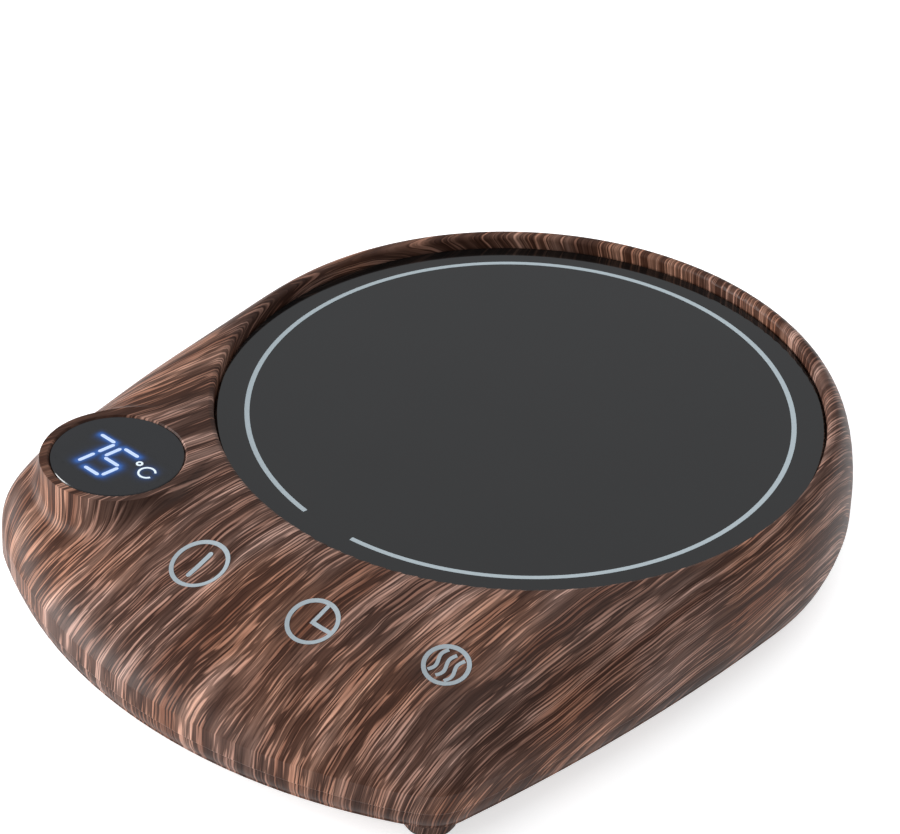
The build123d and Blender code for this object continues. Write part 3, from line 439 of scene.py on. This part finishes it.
def paint_nodes():
    """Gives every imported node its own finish."""
    steel = brushed("Zinc plated steel", (0.58, 0.59, 0.60), 0.36)
    screw_steel = brushed("Screw steel", (0.62, 0.62, 0.64), 0.3, (4.0, 4.0, 0.3))
    spring_steel = brushed("Spring wire", (0.66, 0.66, 0.68), 0.26, (1.0, 1.0, 6.0))
    can = brushed("Capacitor can", (0.30, 0.31, 0.36), 0.3, (4.0, 4.0, 0.3))
    black = speckled("Black moulding", (0.016, 0.016, 0.018), (0.028, 0.028, 0.030), 0.5)
    white = speckled("White moulding", (0.62, 0.64, 0.66), (0.76, 0.78, 0.80), 0.4)
    grey = speckled("Grey moulding", (0.30, 0.30, 0.31), (0.40, 0.40, 0.41), 0.5)
    blue = speckled("Blue moulding", (0.012, 0.050, 0.190), (0.020, 0.075, 0.260), 0.4)
    yellow = speckled("Yellow moulding", (0.45, 0.29, 0.03), (0.58, 0.39, 0.05), 0.4)
    green = speckled("Green moulding", (0.012, 0.14, 0.06), (0.022, 0.20, 0.09), 0.45)
    resin = speckled("Potting resin", (0.010, 0.010, 0.014), (0.03, 0.03, 0.04), 0.25)
    dip = speckled("Blue epoxy dip", (0.02, 0.07, 0.22), (0.04, 0.11, 0.30), 0.28)
    ceramic = speckled("White ceramic", (0.66, 0.65, 0.61), (0.80, 0.79, 0.75), 0.45)
    ferrite = speckled("Ferrite", (0.024, 0.024, 0.026), (0.052, 0.052, 0.055), 0.62)
    silicone = speckled("Silicone gasket", (0.16, 0.16, 0.17), (0.24, 0.24, 0.25), 0.6)
    bush = speckled("Grommet rubber", (0.012, 0.012, 0.013), (0.026, 0.026, 0.027), 0.6)
    pad = speckled("Foot rubber", (0.018, 0.018, 0.019), (0.034, 0.034, 0.035), 0.72, 0.03)
    finishes = {
        "top_cover": walnut("Walnut print", (1.0, 1.0, 1.0)),
        # painted shade: the base shell's print is darkened because it sits in shadow below the
        # cover's edge
        "base_shell": walnut("Walnut print on the base with painted shade", (0.72, 0.70, 0.70)),
        "glass_plate": black_glass(),
        "plate_gasket": silicone,
        "heat_spreader": brushed("Spreader aluminium", (0.78, 0.78, 0.80), 0.34),
        "heater_element": heating_film(),
        "insulation_pad": fibre_felt(),
        "heater_clamp": steel,
        "clamp_screws": screw_steel,
        "temperature_sensor": resin,
        "thermal_fuse": ceramic,
        "fuse_clip": steel,
        "control_board": circuit_laminate(),
        "board_screws": screw_steel,
        "relay": blue,
        "film_capacitor": yellow,
        "smoothing_capacitor": can,
        "choke": ferrite,
        "mains_fuse": black,
        "varistor": dip,
        "buzzer": black,
        "controller_chip": black,
        "terminal_block": green,
        "display_module": white,
        "display_stand": grey,
        "display_lens": smoked_lens(),
        "cord_grommet": bush,
        "case_screws": screw_steel,
    }
    for node, piece in NODES.items():
        if node.startswith("touch_spring"):
            finish = spring_steel
        elif node.startswith("foot_pad"):
            finish = pad
        else:
            finish = finishes[node]
        piece.data.materials.clear()
        piece.data.materials.append(finish)


# ================================================================ printed lines
# a line's points, whether it closes, its width, and the width of its very ends, both as shares
Path = namedtuple("Path", "points closed share tip", defaults=(False, 1.0, 1.0))


def arc_line(centre, radius, first, last, step=MARK_STEP):
    """Points along an arc, in degrees."""
    count = max(6, round(abs(radians(last - first)) * radius / step))
    angles = [radians(first + (last - first) * i / count) for i in range(count + 1)]
    return [centre + Vector((cos(a), sin(a))) * radius for a in angles]


def straight_line(start, end):
    """Points along a straight line."""
    count = max(2, round((end - start).length / MARK_STEP))
    return [start.lerp(end, i / count) for i in range(count + 1)]


def ring(centre, radius):
    """A closed circle."""
    return Path(arc_line(centre, radius, 0, 360)[:-1], closed=True)


def close_mesh(mesh):
    """Joins points that coincide and turns the faces outwards."""
    work = bmesh.new()
    work.from_mesh(mesh)
    bmesh.ops.remove_doubles(work, verts=work.verts, dist=JOIN_DISTANCE)
    bmesh.ops.recalc_face_normals(work, faces=work.faces)
    work.to_mesh(mesh)
    work.free()


def printed_line_tree():
    """Geometry nodes that lay a strip of ink along flat paths and drop it onto a surface."""
    tree = bpy.data.node_groups.new("Printed line", "GeometryNodeTree")
    for label, kind in (
        ("Paths", "NodeSocketGeometry"),
        ("Line width", "NodeSocketFloat"),
        ("Ink thickness", "NodeSocketFloat"),
        ("Lift", "NodeSocketFloat"),
        ("Printed on", "NodeSocketObject"),
        ("Ink", "NodeSocketMaterial"),
    ):
        tree.interface.new_socket(label, in_out="INPUT", socket_type=kind)
    tree.interface.new_socket("Marks", in_out="OUTPUT", socket_type="NodeSocketGeometry")

    def add(kind, inputs=(), **settings):
        return add_node(tree, kind, inputs, settings)

    def join(x=0.0, y=0.0, z=0.0):
        return add("ShaderNodeCombineXYZ", {0: x, 1: y, 2: z}).outputs[0]

    given = add("NodeGroupInput").outputs
    paths = add("GeometryNodeMeshToCurve", {"Mesh": given["Paths"]}).outputs[0]
    paths = add("GeometryNodeSetCurveNormal", {"Curve": paths}, mode="Z_UP").outputs[0]
    section = add("GeometryNodeCurvePrimitiveQuadrilateral", {
        "Width": given["Line width"],
        "Height": given["Ink thickness"],
    }).outputs[0]
    share = add("GeometryNodeInputNamedAttribute", {"Name": "width_share"}, data_type="FLOAT")
    strips = add("GeometryNodeCurveToMesh", {
        "Curve": paths,
        "Profile Curve": section,
        "Scale": share.outputs[0],
        "Fill Caps": True,
    }).outputs[0]
    # straight down from above the model, onto the surface
    position = add("GeometryNodeInputPosition").outputs[0]
    x, y, z = add("ShaderNodeSeparateXYZ", {0: position}).outputs
    surface = add("GeometryNodeObjectInfo", {"Object": given["Printed on"]})
    landing = add("GeometryNodeRaycast", {
        "Target Geometry": surface.outputs["Geometry"],
        "Source Position": join(x, y, CAD_BOX[1].z + PRINT_FROM),
        "Ray Direction": (0.0, 0.0, -1.0),
        "Ray Length": 1.0,
    }).outputs["Hit Position"]
    # the strip's lower points stay there, and its upper ones go an ink's thickness above
    upper = add("ShaderNodeMath", {0: z, 1: 0.0}, operation="GREATER_THAN").outputs[0]
    height = add("ShaderNodeMath", {
        0: upper,
        1: given["Ink thickness"],
        2: given["Lift"],
    }, operation="MULTIPLY_ADD").outputs[0]
    raised = join(z=height)
    target = add("ShaderNodeVectorMath", {0: landing, 1: raised}, operation="ADD").outputs[0]
    marks = add("GeometryNodeSetPosition", {"Geometry": strips, "Position": target}).outputs[0]
    marks = add("GeometryNodeRealizeInstances", {0: marks}).outputs[0]
    marks = add("GeometryNodeSetMaterial", {"Geometry": marks, "Material": given["Ink"]}).outputs[0]
    add("NodeGroupOutput", {0: marks})
    return tree


PRINTED_LINE = printed_line_tree()


def print_lines(name, paths, surface, material, width, lift=0.0):
    """A piece of printed lines on a surface, raised by the lift."""
    points, edges, shares = [], [], []
    for path in paths:
        start, count = len(points), len(path.points)
        points += [(p.x, p.y, 0.0) for p in path.points]
        edges += [(start + i, start + i + 1) for i in range(count - 1)]
        if path.closed:
            edges.append((start + count - 1, start))
        end_share = path.share * path.tip
        shares += [end_share] + [path.share] * (count - 2) + [end_share]
    mesh = bpy.data.meshes.new(name)
    mesh.from_pydata(points, edges, [])
    mesh.attributes.new("width_share", "FLOAT", "POINT").data.foreach_set("value", shares)
    piece = bpy.data.objects.new(name, mesh)
    bpy.context.scene.collection.objects.link(piece)
    modifier = piece.modifiers.new("Printed line", "NODES")
    modifier.node_group = PRINTED_LINE
    values = {
        "Line width": width,
        "Ink thickness": PRINT_T,
        "Lift": lift,
        "Printed on": surface,
        "Ink": material,
    }
    for item in PRINTED_LINE.interface.items_tree:
        if item.in_out == "INPUT" and item.name in values:
            modifier[item.identifier] = values[item.name]
    graph = bpy.context.evaluated_depsgraph_get()
    made = bpy.data.meshes.new_from_object(piece.evaluated_get(graph))
    piece.modifiers.clear()
    piece.data = made
    close_mesh(made)
    for face in made.polygons:
        face.use_smooth = False
    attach(piece, "root")


# ================================================================ marks on the cover and the plate
def mark_centre(key):
    """The middle of a key's mark, on the flat."""
    turn = radians(key.angle)
    on_key = PLATE_CENTRE.xy + Vector((sin(turn), -cos(turn))) * KEY_REACH
    return on_key + Vector(key.shift) * MM


def power_mark(centre):
    """An upright bar with narrowed ends."""
    half = Vector((0, POWER_BAR / 2))
    return [Path(straight_line(centre - half, centre + half), share=POWER_BAR_WIDTH, tip=BAR_TIP)]


def timer_mark(centre):
    """A clock's two hands, straight up and to the right, as long as the ring's radius."""
    reach = KEYS["timer"].radius
    up = straight_line(centre, centre + Vector((0, reach)))
    across = straight_line(centre, centre + Vector((reach, 0)))
    # fills the outer corner; its middle lies off the hands' ends, so that no points of theirs join
    corner = straight_line(*(centre + Vector((MARK_LINE * share, 0)) for share in CLOCK_CORNER))
    return [Path(line, share=HAND_WIDTH) for line in (up, across, corner)]


def heat_mark(centre):
    """Three rising waves."""
    waves = []
    for k in (-1, 0, 1):
        line = []
        for i in range(WAVE_PARTS + 1):
            t = i / WAVE_PARTS
            swing = WAVE_SWING * sin(2 * pi * t)
            line.append(centre + Vector((k * WAVE_PITCH + swing, (t - 0.5) * WAVE_LENGTH)))
        waves.append(Path(line, share=WAVE_WIDTH))
    return waves


def key_marks():
    """The rings of the three keys with the sign in each."""
    signs = {"power": power_mark, "timer": timer_mark, "heat": heat_mark}
    cover = NODES["top_cover"]
    blue_grey = ink("Blue-grey key ink", (0.255, 0.295, 0.320), (0.305, 0.352, 0.380))
    for name, key in KEYS.items():
        centre = mark_centre(key)
        paths = [ring(centre, key.radius)] + signs[name](centre)
        print_lines(f"key_mark_{name}", paths, cover, blue_grey, MARK_LINE)


def plate_ring():
    """The thin ring printed on the glass, open at the front."""
    gap_start, gap_end = PLATE_RING_GAP
    first, last = gap_end - 90, gap_start + 270
    line = arc_line(PLATE_CENTRE.xy, PLATE_RING_R, first, last, PLATE_RING_STEP)
    glass = NODES["glass_plate"]
    pale = ink("Pale plate ink", (0.345, 0.405, 0.435), (0.390, 0.455, 0.485))
    print_lines("plate_ring_mark", [Path(line)], glass, pale, PLATE_RING_LINE)


# ================================================================ display
def on_lens(point):
    """A place on the display, turned with the reading, in the object's frame."""
    turn = Matrix.Rotation(radians(DIGIT_TURN), 2)
    return LENS_CENTRE.xy + turn @ point


def digit_bars(symbol, middle):
    """The lit bars of one digit as pairs of end points."""
    w, h = DIGIT_W / 2, DIGIT_H / 2
    gap = BAR_GAP
    bars = {
        "a": ((-w + gap, h), (w - gap, h)),
        "b": ((w, h - gap), (w, gap)),
        "c": ((w, -gap), (w, -h + gap)),
        "d": ((-w + gap, -h), (w - gap, -h)),
        "f": ((-w, h - gap), (-w, gap)),
        "g": ((-w + gap, 0), (w - gap, 0)),
    }
    return [
        [on_lens(Vector((x + DIGIT_LEAN * y, y)) + middle) for x, y in bars[bar]]
        for bar in LIT_BARS[symbol]
    ]


def distance_to(point, start, end):
    """Distance from a point to a straight piece of line."""
    along = end - start
    share = min(max((point - start).dot(along) / along.length_squared, 0.0), 1.0)
    return (point - start - along * share).length


def film_mesh(name, grid, columns, rows, z):
    """A closed flat film over a grid of points, all of its lower points before its upper ones."""
    count, line = len(grid), columns + 1
    points = [(p.x, p.y, z) for p in grid] + [(p.x, p.y, z + GLOW_T) for p in grid]
    faces = []
    for j in range(rows):
        for i in range(columns):
            a = j * line + i
            b = a + line
            faces += [(a, b, b + 1, a + 1), (a + count, a + 1 + count, b + 1 + count, b + count)]
    # once round the border, from corner to corner
    rim = [
        *range(columns),
        *range(columns, count - 1, line),
        *range(count - 1, rows * line, -1),
        *range(rows * line, 0, -line),
    ]
    faces += [(a, b, b + count, a + count) for a, b in zip(rim, rim[1:] + rim[:1])]
    mesh = bpy.data.meshes.new(name)
    mesh.from_pydata(points, [], faces)
    return mesh


def reading_glow(bars, unit):
    """A clear film round the bars and the letter that carries their light, fading with distance."""
    ends = [end for line in bars + unit for end in line]
    margin = Vector((1, 1)) * GLOW_MARGIN
    low = Vector((min(e.x for e in ends), min(e.y for e in ends))) - margin
    high = Vector((max(e.x for e in ends), max(e.y for e in ends))) + margin
    columns = round((high.x - low.x) / GLOW_CELL)
    rows = round((high.y - low.y) / GLOW_CELL)

    def glow_at(point):
        near_bar = min(distance_to(point, *bar) for bar in bars) - BAR_T / 2
        near_unit = min(distance_to(point, *line) for line in unit) - UNIT_LINE / 2
        bar_light = exp(-max(near_bar, 0) / GLOW_REACH)
        unit_light = UNIT_GLOW * exp(-max(near_unit, 0) / GLOW_REACH)
        border = min(point.x - low.x, high.x - point.x, point.y - low.y, high.y - point.y)
        return min(bar_light + unit_light, 1.0) * min(border / GLOW_MARGIN * GLOW_EDGE, 1.0)

    grid = [low + Vector((i, j)) * GLOW_CELL for j in range(rows + 1) for i in range(columns + 1)]
    mesh = film_mesh("reading_glow", grid, columns, rows, LENS_HIGH.z + GLOW_T)
    values = [glow_at(point) for point in grid] * 2
    mesh.attributes.new("glow", "FLOAT", "POINT").data.foreach_set("value", values)
    close_mesh(mesh)
    mesh.materials.append(bar_glow())
    piece = bpy.data.objects.new("reading_glow", mesh)
    bpy.context.scene.collection.objects.link(piece)
    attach(piece, "root")


def display_reading():
    """Lit number bars and a degree mark with its letter, over the film that carries their glow."""
    lens = NODES["display_lens"]
    lift = 2 * GLOW_T
    bars = []
    for i, symbol in enumerate(READING):
        bars += digit_bars(symbol, DIGIT_FIRST + Vector((DIGIT_PITCH * i, 0)))
    digits = [Path(straight_line(*bar), tip=BAR_POINT) for bar in bars]
    digit_light = lit("Lit digits", (0.56, 0.70, 0.98))
    print_lines("reading_digits", digits, lens, digit_light, BAR_T, lift)
    letter = arc_line(on_lens(UNIT_AT), UNIT_R, *UNIT_ARC, UNIT_STEP)
    unit = [ring(on_lens(DEGREE_AT), DEGREE_R), Path(letter)]
    unit_light = lit("Lit unit", (0.82, 0.93, 1.0))
    print_lines("reading_unit", unit, lens, unit_light, UNIT_LINE, lift)
    reading_glow(bars, list(zip(letter, letter[1:])))


# ================================================================ studio
def soft_light(name, place, size, power):
    """A rectangular lamp that shines at what the camera looks at."""
    light = bpy.data.lights.new(name, "AREA")
    light.shape = "RECTANGLE"
    light.size, light.size_y = size
    light.energy = power
    lamp = bpy.data.objects.new(name, light)
    lamp.location = place
    lamp.rotation_euler = (CAMERA_AIM - Vector(place)).to_track_quat("-Z", "Y").to_euler()
    bpy.context.scene.collection.objects.link(lamp)


def floor_material():
    """A pale, faintly lit table top, so that shadows stay light."""
    s = Shader("Pale floor")
    cloud = s.noise(s.place(), 0.01, 2.0)
    return s.finish({
        "Base Color": s.mix(cloud, (0.80, 0.80, 0.80), (0.83, 0.83, 0.83)),
        "Roughness": 0.7,
        "Emission Color": (1.0, 1.0, 1.0, 1.0),
        "Emission Strength": FLOOR_LIGHT,
    })


def studio():
    """The table top, three lamps and an even sky."""
    r = FLOOR_REACH
    mesh = bpy.data.meshes.new("floor")
    mesh.from_pydata([(-r, -r, 0), (r, -r, 0), (r, r, 0), (-r, r, 0)], [], [(0, 1, 2, 3)])
    mesh.materials.append(floor_material())
    floor = bpy.data.objects.new("floor", mesh)
    bpy.context.scene.collection.objects.link(floor)
    for lamp in LIGHTS:
        soft_light(*lamp)
    world = bpy.data.worlds.new("studio")
    world.use_nodes = True
    sky = world.node_tree.nodes["Background"].inputs
    sky["Color"].default_value = SKY_TONE
    sky["Strength"].default_value = SKY_LIGHT
    bpy.context.scene.world = world


def camera():
    """The camera looks down from the front right."""
    turn, rise, roll = radians(CAMERA_AZIMUTH), radians(CAMERA_ELEVATION), radians(CAMERA_ROLL)
    back = Vector((sin(turn) * cos(rise), -cos(turn) * cos(rise), sin(rise)))
    right = Vector((cos(turn), sin(turn), 0))
    up = back.cross(right)
    rolled_right = right * cos(roll) + up * sin(roll)
    rolled_up = up * cos(roll) - right * sin(roll)
    data = bpy.data.cameras.new("camera")
    data.lens = CAMERA_LENS
    data.sensor_width = CAMERA_SENSOR
    data.clip_start, data.clip_end = CAMERA_NEAR, CAMERA_FAR
    eye = bpy.data.objects.new("camera", data)
    place = Matrix((rolled_right, rolled_up, back)).transposed().to_4x4()
    place.translation = CAMERA_AIM + back * CAMERA_DISTANCE
    eye.matrix_world = place
    bpy.context.scene.collection.objects.link(eye)
    bpy.context.scene.camera = eye
    bpy.context.scene.view_settings.view_transform = "Standard"


camera()
studio()
paint_nodes()
key_marks()
plate_ring()
display_reading()
